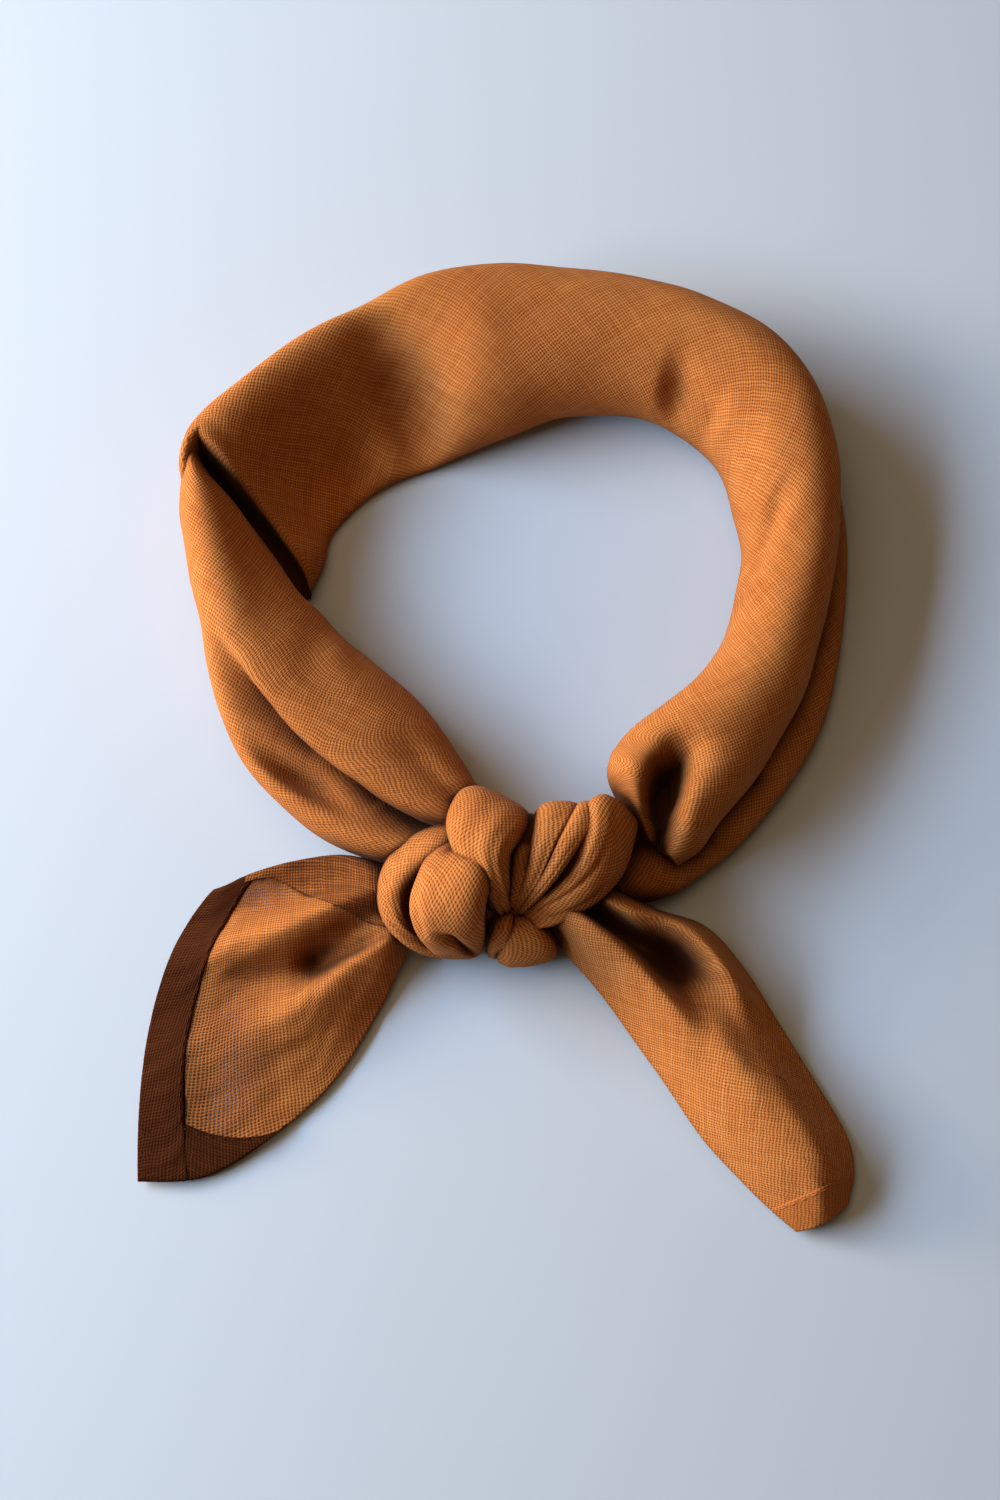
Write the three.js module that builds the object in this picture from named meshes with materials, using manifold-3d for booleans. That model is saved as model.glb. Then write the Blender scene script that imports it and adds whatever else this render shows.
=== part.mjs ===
// A tied neckerchief: a square of light gauze rolled on the bias into a band, closed into a ring
// with a square knot, with two short ends. It lies on a surface, knot towards the viewer (-Y).
// Millimetres, +Z up, resting on z = 0.
import * as THREE from "three";
import Module from "manifold-3d";

const manifold = await Module();
manifold.setup();

// Driving dimensions: walls of the cloth, of a hem and of the flap folded over the left end, the
// gap that pieces keep, and the middle of the outline in the tables' frame
const CLOTH = 1.6;
const HEM_CLOTH = 2.4;
const FLAP_CLOTH = 1.4;
const NODE_GAP = 0.35;
const MIDDLE = { x: 1.3, y: 3.2 };

// Facets along and round each kind of piece
const STRAND_FACETS = { along: 24, round: 22 };
const STRETCH_FACETS = { along: 42, round: 22 };
const LAYER_FACETS = { along: 20, round: 10 };
const FOLD_FACETS = { along: 12, round: 12 };
const TAIL_FACETS = { left: 14, leftEnd: 5, right: 20, room: 12, hem: 4, hemEnd: 7, hemAcross: 3, across: 14 };

const COLOURS = { roll: 0xb5662e, knot: 0xba6a31, tail: 0xb0622c, hem: 0x7a3c1c };

// A table is its column names and its rows, which become objects.
function table(columns, rows) {
  return rows.map((row) => Object.fromEntries(columns.map((name, i) => [name, row[i]])));
}

// The rolled band seen from above: its outer and inner edge, the height of its top and its foot,
// and how far it leans, in degrees: outwards is positive.
const ROLL = ["outX", "outY", "inX", "inY", "top", "foot", "lean"];

const LEFT_STRAND = table(ROLL, [
  [-88, 82, -85, 80, 34, 20, 0],
  [-89, 73, -79, 72, 35, 5, -8],
  [-89, 62, -71, 62, 35, 0, -16],
  [-87, 52, -64, 53, 34, -1, -20],
  [-85, 41, -58, 43, 33, -1, -21],
  [-82, 30, -51, 36, 32, -1, -20],
  [-80, 18, -44, 28, 31, -1, -17],
  [-76, 5, -35, 20, 30, -1, -13],
  [-70, -8, -26, 12, 29, -1, -9],
  [-60, -19, -18, 3, 28, -1, -6],
  [-47, -29, -13, -5, 27, -1, -4],
  [-33, -35, -8, -13, 26, 0, -2],
  [-18, -36, -3, -20, 25, 2, 0],
]);

const FAR_STRETCH = table(ROLL, [
  [-87, 62, -66, 36, 20, 0, 10],
  [-88, 80, -53, 46, 34, -1, 44],
  [-73, 96, -47, 63, 34, -1, 42],
  [-57, 111, -40, 71, 33, -1, 38],
  [-40, 122, -30, 78, 32, -1, 30],
  [-20, 133, -17, 83, 32, -1, 16],
  [0, 138, 0, 90, 31, -1, 8],
  [20, 138, 17, 96, 30, -1, 4],
  [41, 135, 34, 97, 28, -1, 4],
  [59, 129, 47, 94, 28, -1, 2],
  [77, 118, 57, 87, 28, -1, 4],
  [89, 102, 63, 79, 28, -1, 6],
  [95, 82, 66, 67, 27, -1, 8],
  [95, 61, 68, 55, 27, -1, 10],
  [92, 41, 66, 43, 27, -1, 10],
  [88, 26, 62, 29, 27, -1, 8],
  [84, 13, 55, 18, 28, -1, 4],
  [77, 0, 45, 9, 29, -1, 0],
  [69, -13, 34, 0, 30, -1, 0],
  [60, -24, 29, -10, 30, 0, 0],
  [54, -32, 33, -20, 27, 3, 0],
  [48, -36, 38, -28, 21, 6, 0],
]);

// The free edge of the cloth, one layer that shows under the outer side of the right stretch
// and runs on below its end into the knot.
const UNDER_LAYER = table(ROLL, [
  [94, 88, 86, 82, 12, 4, 0],
  [97, 78, 82, 74, 11, -1, -10],
  [99, 62, 80, 60, 11, -1, -12],
  [98, 44, 78, 43, 11, -1, -12],
  [95, 24, 75, 26, 11, -1, -12],
  [90, 6, 70, 11, 11, -1, -12],
  [80, -11, 62, -3, 12, -1, -12],
  [67, -27, 50, -14, 13, -1, -10],
  [55, -37, 43, -26, 14, 0, -6],
  [46, -43, 38, -33, 16, 1, 0],
  [34, -46, 30, -34, 17, 2, 0],
]);

// A crease runs along a roll: from and to are rows, startAt and endAt the angle round the section
// (0 at the outer edge, 90 on top), deep in mm and wide in degrees.
const CREASE = ["from", "to", "startAt", "endAt", "deep", "wide"];

const STRAND_CREASES = table(CREASE, [
  [6.6, 12.6, 40, 84, 5, 15],
  [1.5, 9, 118, 100, 1.5, 22],
]);

const STRETCH_CREASES = table(CREASE, [
  [-1.5, 5, 116, 108, 10, 44],
  [8.6, 10.4, 128, 150, 3, 26],
  [12, 14.6, 96, 170, 2, 16],
  [17.4, 22.5, 96, 90, 11, 24],
]);

// Folds of the knot: the middle line of a gathered fold from its foot over the top to the pinch,
// its width and thickness, and the direction of its width in plan, in degrees.
const FOLD = ["x", "y", "z", "wide", "thick", "turn"];

const UPPER_LEFT_FOLD = table(FOLD, [
  [0, -22, 4, 17, 9, -30],
  [-1, -20, 17, 21, 10, -32],
  [-3, -24, 28, 23, 11, -34],
  [-5, -33, 33, 20, 11, -26],
  [-4, -41, 32, 13, 10, -12],
  [-1, -47, 27, 7, 8, 0],
  [1, -50, 19, 5, 6, 0],
]);

const LEFT_BULGE = table(FOLD, [
  [-18, -47, 4, 19, 8, 84],
  [-19, -47, 16, 23, 9, 82],
  [-16, -48, 27, 26, 10, 78],
  [-11, -50, 31, 23, 10, 74],
  [-6, -52, 27, 17, 9, 70],
  [-3, -54, 19, 9, 8, 66],
]);

const LEFT_RING = table(FOLD, [
  [-13, -33, 20, 7, 14, 70],
  [-20, -34, 20, 7, 16, 110],
  [-27, -38, 17, 7, 18, 145],
  [-29, -44, 14, 7, 17, 180],
  [-27, -50, 11, 7, 14, 210],
  [-21, -54, 8, 6, 11, 245],
  [-14, -57, 7, 5, 9, 262],
]);

const TOP_FOLD = table(FOLD, [
  [15, -26, 3, 10, 9, 0],
  [15, -24, 18, 12, 10, -5],
  [14, -29, 29, 10, 9, -12],
  [11, -38, 31, 7, 8, -20],
  [6, -46, 27, 5, 7, -25],
  [3, -50, 19, 4, 6, -25],
]);

const MIDDLE_FOLD = table(FOLD, [
  [24, -26, 3, 10, 9, -12],
  [25, -24, 18, 12, 10, -20],
  [22, -28, 28, 10, 9, -28],
  [16, -37, 31, 7, 8, -40],
  [10, -46, 27, 5, 7, -50],
  [5, -50, 20, 4, 6, -50],
]);

const RIGHT_FOLD = table(FOLD, [
  [30, -33, 3, 18, 8, -68],
  [31, -31, 14, 22, 9, -70],
  [28, -34, 26, 21, 10, -66],
  [21, -42, 30, 14, 10, -58],
  [13, -47, 28, 9, 9, -55],
  [6, -51, 21, 6, 7, -50],
]);

const SMALL_LOWER_FOLD = table(FOLD, [
  [1, -54, 21, 5, 6, 0],
  [0, -57, 19, 8, 6, 0],
  [-1, -59, 13, 9, 6, 0],
  [-1, -59, 5, 8, 6, 0],
]);

const LOWER_FOLD = table(FOLD, [
  [5, -53, 20, 6, 6, 0],
  [7, -56, 18, 12, 7, 5],
  [8, -58, 12, 17, 8, 8],
  [8, -58, 4, 16, 8, 8],
]);

// The packed cloth inside the knot, where the band and the free ends stop.
const KNOT_CORE = table(FOLD, [
  [-24, -46, 12, 14, 22, 90],
  [-14, -46, 14, 20, 28, 88],
  [2, -43, 14, 26, 28, 88],
  [18, -38, 14, 22, 28, 80],
  [28, -37, 13, 16, 22, 75],
]);

// The free ends seen from above: one edge, the middle and the other edge of a row across the
// cloth, then the height of its top at seven places from edge to edge.
const TAIL = ["aX", "aY", "mX", "mY", "bX", "bY", "h0", "h1", "h2", "h3", "h4", "h5", "h6"];
const HEIGHTS = ["h0", "h1", "h2", "h3", "h4", "h5", "h6"];

const LEFT_TAIL = table(TAIL, [
  [-28, -36, -27, -46, -24, -56, 12, 15, 17, 13, 15, 13, 8],
  [-36, -34, -33, -49, -28, -64, 12, 14, 16, 11, 14, 12, 5],
  [-45, -33, -41, -54, -33, -74, 11, 13, 15, 9, 13, 11, 3],
  [-58, -35, -54, -62, -45, -93, 10, 10, 13, 7, 12, 9, 2],
  [-69, -38, -71, -69, -63, -109, 10, 7, 11, 6, 11, 6, 2],
  [-74, -40, -82, -71, -79, -118, 10, 6, 8, 5, 8, 4, 2.5],
  [-78, -41, -93, -71, -96, -119, 10, 6, 6, 4, 5, 3, 3],
]);

const RIGHT_TAIL = table(TAIL, [
  [9, -49, 18, -44, 27, -38, 10, 17, 19, 15, 18, 16, 9],
  [16, -57, 28, -51, 42, -46, 7, 19, 22, 15, 20, 17, 6],
  [27, -69, 41, -60, 56, -51, 3, 14, 19, 9, 17, 17, 5],
  [37, -83, 52, -73, 66, -62, 2, 10, 16, 9, 10, 15, 4],
  [44, -93, 59, -84, 74, -75, 2, 8, 13, 13, 8, 7, 3],
  [54, -108, 69, -99, 83, -90, 2, 6, 11, 13, 10, 5, 2],
  [64, -119, 78, -112, 92, -106, 2, 5, 8, 11, 10, 5, 2],
  [71, -126, 83, -121, 94, -116, 2, 4, 6, 8, 7, 4, 2],
  [78, -132, 85, -130, 92, -125, 2, 2.5, 3, 3.5, 3, 2.5, 2],
]);

const DEGREE = Math.PI / 180;
// A short step along a table's rows, from which a fold's direction is found
const NEARBY = 0.05;

// A value between the rows of a table, by a curve that passes through every row.
function between(values, place) {
  const last = values.length - 1;
  const i = Math.min(Math.max(Math.floor(place), 0), last - 1);
  const t = place - i;
  const p = [i - 1, i, i + 1, i + 2].map((k) => values[Math.min(Math.max(k, 0), last)]);
  const a = 2 * p[1];
  const b = p[2] - p[0];
  const c = 2 * p[0] - 5 * p[1] + 4 * p[2] - p[3];
  const d = 3 * (p[1] - p[2]) + p[3] - p[0];
  return (a + b * t + c * t * t + d * t * t * t) / 2;
}

function rowAt(rows, place) {
  const names = Object.keys(rows[0]);
  return Object.fromEntries(names.map((name) => [name, between(rows.map((row) => row[name]), place)]));
}

// Even places from one value to another, both included.
function places(from, to, count) {
  return Array.from({ length: count + 1 }, (_, i) => from + ((to - from) * i) / count);
}

// A closed solid through rings of points, each ring running the same way round.
function closedLoft(rings) {
  const sides = rings[0].length;
  const vertices = rings.flat(2);
  const faces = [];
  const ring = (i, j) => i * sides + (j % sides);
  for (let i = 0; i + 1 < rings.length; i += 1) {
    for (let j = 0; j < sides; j += 1) {
      faces.push(ring(i, j), ring(i, j + 1), ring(i + 1, j + 1));
      faces.push(ring(i, j), ring(i + 1, j + 1), ring(i + 1, j));
    }
  }
  for (const [end, flipped] of [[0, true], [rings.length - 1, false]]) {
    const middle = vertices.length / 3;
    for (let axis = 0; axis < 3; axis += 1) {
      vertices.push(rings[end].reduce((sum, point) => sum + point[axis], 0) / sides);
    }
    for (let j = 0; j < sides; j += 1) {
      const pair = [ring(end, j), ring(end, j + 1)];
      faces.push(middle, ...(flipped ? pair.reverse() : pair));
    }
  }
  return new manifold.Manifold(new manifold.Mesh({
    numProp: 3,
    vertProperties: new Float32Array(vertices),
    triVerts: new Uint32Array(faces),
  }));
}

function anglesRound(count) {
  return Array.from({ length: count }, (_, i) => (360 * i) / count);
}

// A crease fades in and out over this share of its length
const FADE = 0.28;

// How deep the creases are at a row and an angle of a roll.
function creaseDepth(creases, place, angle) {
  return creases.reduce((sum, crease) => {
    const along = (place - crease.from) / (crease.to - crease.from);
    if (along <= 0 || along >= 1) {
      return sum;
    }
    const at = crease.startAt + (crease.endAt - crease.startAt) * along;
    const aside = (angle - at) / crease.wide;
    const ends = Math.min(1, along / FADE, (1 - along) / FADE);
    return sum + crease.deep * ends * Math.exp(-aside * aside);
  }, 0);
}

// A rolled stretch: a leaning oval section, creased, and pressed flat where it rests.
function roll(rows, creases, facets) {
  return places(0, rows.length - 1, facets.along).map((place) => {
    const row = rowAt(rows, place);
    const half = { x: (row.outX - row.inX) / 2, y: (row.outY - row.inY) / 2, z: (row.top - row.foot) / 2 };
    return anglesRound(facets.round).map((angle) => {
      const across = Math.cos(angle * DEGREE);
      const up = Math.sin((angle + row.lean) * DEGREE);
      const reach = Math.hypot(half.x * across, half.y * across, half.z * up);
      const keep = 1 - creaseDepth(creases, place, angle) / reach;
      const x = (row.outX + row.inX) / 2 + half.x * across * keep;
      const y = (row.outY + row.inY) / 2 + half.y * across * keep;
      const z = (row.top + row.foot) / 2 + half.z * up * keep;
      return [x, y, Math.max(z, 0)];
    });
  });
}

// A fold of the knot: an oval section carried along its middle line.
function fold(rows, facets, grow) {
  return places(0, rows.length - 1, facets.along).map((place) => {
    const row = rowAt(rows, place);
    const ahead = rowAt(rows, Math.min(place + NEARBY, rows.length - 1));
    const behind = rowAt(rows, Math.max(place - NEARBY, 0));
    const along = new THREE.Vector3(ahead.x - behind.x, ahead.y - behind.y, ahead.z - behind.z);
    const wide = new THREE.Vector3(Math.cos(row.turn * DEGREE), Math.sin(row.turn * DEGREE), 0);
    const thick = new THREE.Vector3().crossVectors(along, wide).normalize();
    return anglesRound(facets.round).map((angle) => {
      const point = new THREE.Vector3(row.x, row.y, row.z);
      point.addScaledVector(wide, (row.wide / 2 + grow) * Math.cos(angle * DEGREE));
      point.addScaledVector(thick, (row.thick / 2 + grow) * Math.sin(angle * DEGREE));
      return [point.x, point.y, Math.max(point.z, 0)];
    });
  });
}

// The top of a free end at a row and a place across, both rising from 0 to 1.
function tailTop(rows, along, across) {
  const row = rowAt(rows, along * (rows.length - 1));
  const a = (1 - across) * (1 - 2 * across);
  const m = 4 * across * (1 - across);
  const b = across * (2 * across - 1);
  const heights = HEIGHTS.map((name) => row[name]);
  return [
    row.aX * a + row.mX * m + row.bX * b,
    row.aY * a + row.mY * m + row.bY * b,
    between(heights, across * (heights.length - 1)),
  ];
}

// A stretch of a free end: stations are its places along it, span gives the part of the width
// that it covers there, thick is its wall and lift how far its top stands over the cloth.
function tailPatch(rows, stations, sides, { span, thick, lift = () => 0 }) {
  return stations.map((u) => {
    const [from, to] = span(u);
    const across = places(from, to, sides);
    const top = across.map((v) => tailTop(rows, u, v));
    const under = top.map(([x, y, z]) => [x, y, Math.max(z - thick, 0)]).reverse();
    return [...top.map(([x, y, z], j) => [x, y, z + lift(u, across[j])]), ...under];
  });
}

// The lofts may be given in either sense: a solid that came out inside out is turned round.
function solidOf(rings) {
  const solid = closedLoft(rings);
  return solid.volume() > 0 ? solid : closedLoft(rings.map((ring) => [...ring].reverse()));
}

function joined(solids) {
  return solids.reduce((whole, solid) => whole.add(solid));
}

function cutBy(solid, others) {
  return others.reduce((left, other) => left.subtract(other), solid);
}

function neckBand() {
  const strand = solidOf(roll(LEFT_STRAND, STRAND_CREASES, STRAND_FACETS));
  const stretch = solidOf(roll(FAR_STRETCH, STRETCH_CREASES, STRETCH_FACETS));
  const layer = solidOf(roll(UNDER_LAYER, [], LAYER_FACETS));
  return joined([strand, stretch, layer]);
}

function knotWrap(folds, grow = 0) {
  return joined(folds.map((rows) => solidOf(fold(rows, FOLD_FACETS, grow))));
}

const LEFT_WRAP = [UPPER_LEFT_FOLD, LEFT_BULGE, LEFT_RING, KNOT_CORE];
const RIGHT_WRAP = [TOP_FOLD, MIDDLE_FOLD, RIGHT_FOLD];
const LOWER_WRAP = [SMALL_LOWER_FOLD, LOWER_FOLD];

// Where the hems start, as shares of the left end's length and width and the right end's length
const LEFT_HEM_ALONG = 0.865;
const LEFT_HEM_ACROSS = 0.88;
const LEFT_HEM_FROM = 0.68;
const RIGHT_HEM_ALONG = 0.88;
const HEM_SEAM = 0.01;
const HEM_JOIN = 0.93;
const HEM_STEP = 0.3;
const ROOM_ACROSS = 0.02;
const FLAP_ALONG = 0.72;
const FLAP_ACROSS = 0.27;

// The room that a free end takes, down to the surface that it lies on.
function tailRoom(rows) {
  return solidOf(tailPatch(rows, places(0, 1, TAIL_FACETS.room), TAIL_FACETS.room, {
    span: () => [-ROOM_ACROSS, 1 + ROOM_ACROSS],
    lift: () => FLAP_CLOTH + NODE_GAP,
    thick: Infinity,
  }));
}

function leftTail() {
  const stations = [
    ...places(0, LEFT_HEM_FROM, TAIL_FACETS.left),
    ...places(LEFT_HEM_FROM + HEM_SEAM, LEFT_HEM_ALONG, TAIL_FACETS.leftEnd),
  ];
  return solidOf(tailPatch(LEFT_TAIL, stations, TAIL_FACETS.across, {
    span: (u) => [0, u > LEFT_HEM_FROM ? LEFT_HEM_ACROSS : 1],
    lift: (u, v) => (u < FLAP_ALONG && v < FLAP_ACROSS ? FLAP_CLOTH : 0),
    thick: CLOTH,
  }));
}

// The hem turns the corner: its end strip runs a little inside its side strip, which joins them.
function leftTailHem() {
  const sideStations = places(LEFT_HEM_ALONG + HEM_SEAM, 1, TAIL_FACETS.hem);
  const side = tailPatch(LEFT_TAIL, sideStations, TAIL_FACETS.across, {
    span: () => [0, 1],
    thick: HEM_CLOTH,
  });
  const endStations = places(LEFT_HEM_FROM + 2 * HEM_SEAM, HEM_JOIN, TAIL_FACETS.hemEnd);
  const end = tailPatch(LEFT_TAIL, endStations, TAIL_FACETS.hemAcross, {
    span: () => [LEFT_HEM_ACROSS + HEM_SEAM, 1 - HEM_SEAM],
    lift: () => -HEM_STEP,
    thick: HEM_CLOTH - HEM_STEP,
  });
  return joined([solidOf(side), solidOf(end)]);
}

// The right end is folded double all over.
const WHOLE_WIDTH = { span: () => [0, 1], thick: 2 * CLOTH };

function rightTail() {
  const stations = places(0, RIGHT_HEM_ALONG, TAIL_FACETS.right);
  return solidOf(tailPatch(RIGHT_TAIL, stations, TAIL_FACETS.across, WHOLE_WIDTH));
}

function rightTailHem() {
  const stations = places(RIGHT_HEM_ALONG + HEM_SEAM, 1, TAIL_FACETS.hem);
  return solidOf(tailPatch(RIGHT_TAIL, stations, TAIL_FACETS.across, WHOLE_WIDTH));
}

function meshOf(name, solid, colour) {
  const { numProp, vertProperties, triVerts } = solid.getMesh();
  const geometry = new THREE.BufferGeometry();
  const points = [];
  for (let i = 0; i < vertProperties.length; i += numProp) {
    points.push(vertProperties[i], vertProperties[i + 1], vertProperties[i + 2]);
  }
  geometry.setAttribute("position", new THREE.Float32BufferAttribute(points, 3));
  geometry.setIndex([...triVerts]);
  const material = new THREE.MeshStandardMaterial({ color: colour, roughness: 0.95, metalness: 0 });
  const mesh = new THREE.Mesh(geometry, material);
  mesh.name = name;
  return mesh;
}

const leftKnot = knotWrap(LEFT_WRAP);
const leftKnotRoom = knotWrap(LEFT_WRAP, NODE_GAP);
const rightKnot = cutBy(knotWrap(RIGHT_WRAP), [leftKnotRoom]);
const rightKnotRoom = knotWrap(RIGHT_WRAP, NODE_GAP);
const lowerKnot = cutBy(knotWrap(LOWER_WRAP), [leftKnotRoom, rightKnotRoom]);
const lowerKnotRoom = knotWrap(LOWER_WRAP, NODE_GAP);
const knotRoom = [leftKnotRoom, rightKnotRoom, lowerKnotRoom];

const tailRooms = [tailRoom(LEFT_TAIL), tailRoom(RIGHT_TAIL)];

const neckerchief = new THREE.Group();
neckerchief.position.set(-MIDDLE.x, -MIDDLE.y, 0);
neckerchief.add(
  meshOf("neck_band", cutBy(neckBand(), [...knotRoom, ...tailRooms]), COLOURS.roll),
  meshOf("knot_left_wrap", leftKnot, COLOURS.knot),
  meshOf("knot_right_wrap", rightKnot, COLOURS.knot),
  meshOf("knot_lower_wrap", lowerKnot, COLOURS.knot),
  meshOf("left_tail", cutBy(leftTail(), knotRoom), COLOURS.tail),
  meshOf("right_tail", cutBy(rightTail(), knotRoom), COLOURS.tail),
  meshOf("left_tail_hem", leftTailHem(), COLOURS.hem),
  meshOf("right_tail_hem", rightTailHem(), COLOURS.hem),
);

export default neckerchief;
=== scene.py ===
import math

import bpy
import numpy as np
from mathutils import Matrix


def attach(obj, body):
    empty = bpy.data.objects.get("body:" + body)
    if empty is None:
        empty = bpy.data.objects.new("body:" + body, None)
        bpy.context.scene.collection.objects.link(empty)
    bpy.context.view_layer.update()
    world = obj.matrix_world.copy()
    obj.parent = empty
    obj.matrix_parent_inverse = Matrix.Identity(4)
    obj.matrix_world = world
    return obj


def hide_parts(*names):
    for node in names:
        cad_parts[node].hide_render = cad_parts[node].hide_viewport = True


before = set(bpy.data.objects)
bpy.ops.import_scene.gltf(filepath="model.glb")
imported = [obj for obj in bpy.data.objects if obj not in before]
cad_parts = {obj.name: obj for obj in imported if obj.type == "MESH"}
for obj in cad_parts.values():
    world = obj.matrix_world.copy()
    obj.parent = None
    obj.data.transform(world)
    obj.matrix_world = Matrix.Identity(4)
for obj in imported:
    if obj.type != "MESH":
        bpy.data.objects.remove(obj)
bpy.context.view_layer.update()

MM = 0.001
MIDDLE = np.array([1.3, 3.2, 0.0])

# Walls of the cloth as it is woven, and of a hem that is turned twice
GAUZE = 0.5
HEM = 1.1
THREAD_PITCH = 0.84


def table(columns, rows):
    """A table is its column names and its rows, which become one array for each column."""
    return {name: np.array(column, float) for name, column in zip(columns, zip(*rows))}


# The rolled band seen from above: its outer and inner edge, the height of its top and its foot,
# and how far it leans, in degrees: outwards is positive.
ROLL = ["outX", "outY", "inX", "inY", "top", "foot", "lean"]

LEFT_STRAND = table(ROLL, [
    [-86.6, 81, -84.5, 80, 30, 20, 0],
    [-88.3, 74, -80.5, 73, 34, 3, 4],
    [-89, 63, -71, 63, 35, 0, 12],
    [-87, 52, -64, 54, 34, -1, 20],
    [-85, 41, -57, 44, 33, -1, 24],
    [-82, 30, -50, 37, 32, -1, 24],
    [-80, 18, -43, 29, 31, -1, 20],
    [-76, 5, -34, 21, 30, -1, 15],
    [-70, -8, -25, 13, 29, -1, 10],
    [-60, -19, -17, 4, 28, -1, 6],
    [-47, -29, -12, -4, 27, -1, 3],
    [-33, -35, -7, -12, 26, 0, 0],
    [-18, -36, -3, -20, 25, 2, 0],
])

FAR_STRETCH = table(ROLL, [
    [-86, 62, -66, 40, 8, 0, 0],
    [-88, 80, -54.5, 44, 10, -1, 34],
    [-88, 81, -54, 45, 33, -1, 46],
    [-83, 88, -50.5, 53, 35, -1, 52],
    [-73, 97, -48, 63, 35, -1, 52],
    [-57, 111, -40, 73, 34, -1, 50],
    [-40, 122, -31, 79, 33, -1, 46],
    [-20, 133, -17, 84, 32, -1, 38],
    [0, 138, 0, 90, 31, -1, 22],
    [20, 138, 17, 96, 30, -1, 12],
    [41, 135, 34, 97, 29, -1, 12],
    [59, 129, 47, 94, 29, -1, 16],
    [77, 118, 57, 87, 29, -1, 22],
    [89, 102, 63, 79, 29, -1, 22],
    [95, 82, 66, 67, 28, -1, 18],
    [95, 61, 68, 55, 27, -1, 15],
    [92, 41, 66, 43, 27, -1, 12],
    [88, 26, 62, 29, 27, -1, 8],
    [84, 13, 55, 18, 28, -1, 4],
    [77, 0, 45, 9, 29, -1, 0],
    [69, -13, 34, 0, 30, -1, 0],
    [60, -24, 29, -10, 30, 0, 0],
    [54, -32, 33, -20, 27, 3, 0],
    [48, -36, 38, -28, 21, 6, 0],
])

# The free edge of the cloth, one layer that shows under the outer side of the right stretch
# and runs on below its end into the knot.
UNDER_LAYER = table(ROLL, [
    [94, 88, 86, 82, 12, 4, 0],
    [97, 78, 82, 74, 11, -1, -10],
    [99, 62, 80, 60, 11, -1, -12],
    [98, 44, 78, 43, 11, -1, -12],
    [95, 24, 75, 26, 11, -1, -12],
    [90, 6, 70, 11, 11, -1, -12],
    [80, -11, 62, -3, 12, -1, -12],
    [67, -27, 48, -10, 12, -1, -10],
    [55, -37, 37, -17, 12, 0, -6],
    [46, -43, 31, -22, 13, 0, 0],
    [34, -46, 25, -30, 14, 0, 0],
])

# A crease runs along a roll or a fold: from and to are rows, startAt and endAt the angle round the
# section (0 at the outer edge, 90 on top), deep in mm, and before and after are how wide its two
# sides are, in degrees.
CREASE = ["from", "to", "startAt", "endAt", "deep", "before", "after"]

STRAND_CREASES = table(CREASE, [
    [5.2, 13.6, 36, 86, 11.0, 17, 10],
    [1.5, 9.0, 118, 100, 1.2, 24, 24],
    [8.5, 13.5, 122, 128, 1.5, 16, 12],
])

STRETCH_CREASES = table(CREASE, [
    [10.6, 12.4, 128, 150, 3, 26, 26],
    [14, 16.6, 96, 170, 2, 16, 16],
    [19.4, 24.5, 96, 90, 12, 20, 20],
])

# Where the cloth is pressed down, seen from above: a share of its height at a place, long in mm
# along the direction turn, in degrees, and wide across it. A negative share puffs it up.
PRESS = ["x", "y", "share", "long", "wide", "turn"]

STRAND_PRESSES = table(PRESS, [
    [-53, -13.5, 0.35, 13, 3.4, -33],
])

STRETCH_PRESSES = table(PRESS, [
    [-46, 81, 0.76, 29, 14.5, 50],
    [-25, 92, 0.62, 19, 9, 114],
    [-6, 111, -0.04, 14, 9, 100],
    [50, 96, 0.13, 7, 4, 100],
    [44.4, -17, 0.72, 7.5, 3.3, 76],
])

NO_CREASES = table(CREASE, [
    [0, 1, 0, 0, 0, 10, 10],
])

NO_PRESSES = table(PRESS, [
    [0, 0, 0, 1, 1, 0],
])

# Folds: the middle line of a gathered fold from its foot over the top to the pinch of the knot,
# its width and thickness, the direction of its width in plan and how that side rises, in degrees.
FOLD = ["x", "y", "z", "wide", "thick", "turn", "tilt"]

# The outer fold at the kink, where the far stretch turns into the left strand
KINK_FOLD = table(FOLD, [
    [-64, 91, 14, 5, 24, 125, 0],
    [-74.5, 86.2, 16.4, 6, 32, 130, 0],
    [-82.8, 81.8, 17.2, 6.5, 35, 146, 0],
    [-85.8, 77, 17.2, 6, 34.5, 168, 0],
    [-84.8, 68.5, 14.5, 3.6, 26, 178, 0],
])

UPPER_LEFT_FOLD = table(FOLD, [
    [-1, -22, 4, 18, 9, -28, 0],
    [-1, -22, 16, 21, 10, -28, 0],
    [-2.5, -25, 25.5, 22.5, 11, -28, 10],
    [-5.6, -32, 30, 20, 12, -26, 20],
    [-4.2, -38.5, 29.5, 14, 11, -16, 22],
    [-1.2, -44.5, 26, 8, 9, -5, 16],
    [1.2, -49, 17, 4.5, 6, 0, 0],
])

LEFT_BULGE = table(FOLD, [
    [-9, -32, 18, 18, 10, 20, 8],
    [-11, -38, 26, 21, 11, 15, 16],
    [-13, -46, 28.5, 22, 12, 8, 20],
    [-13.5, -52, 25, 20, 11, 2, 18],
    [-12.5, -55.5, 17, 17, 9, 0, 8],
    [-11.5, -56.5, 8, 14, 8, 0, 0],
    [-11, -55.5, 3, 12, 6, 0, 0],
])

LEFT_RING = table(FOLD, [
    [-11, -30, 21, 10, 9, 108, -30],
    [-19, -33.2, 20.5, 12, 9, 120, -36],
    [-25.2, -37.7, 18.5, 12, 9, 143, -38],
    [-28, -43.5, 16, 10, 9, 171, -36],
    [-27.8, -49, 14.5, 8, 8, 188, -30],
    [-25.2, -53.2, 12, 6.5, 8, 209, -20],
    [-20.5, -56.5, 9, 6, 8, 233, 0],
    [-15, -58, 7, 5, 8, 255, 0],
])

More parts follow.
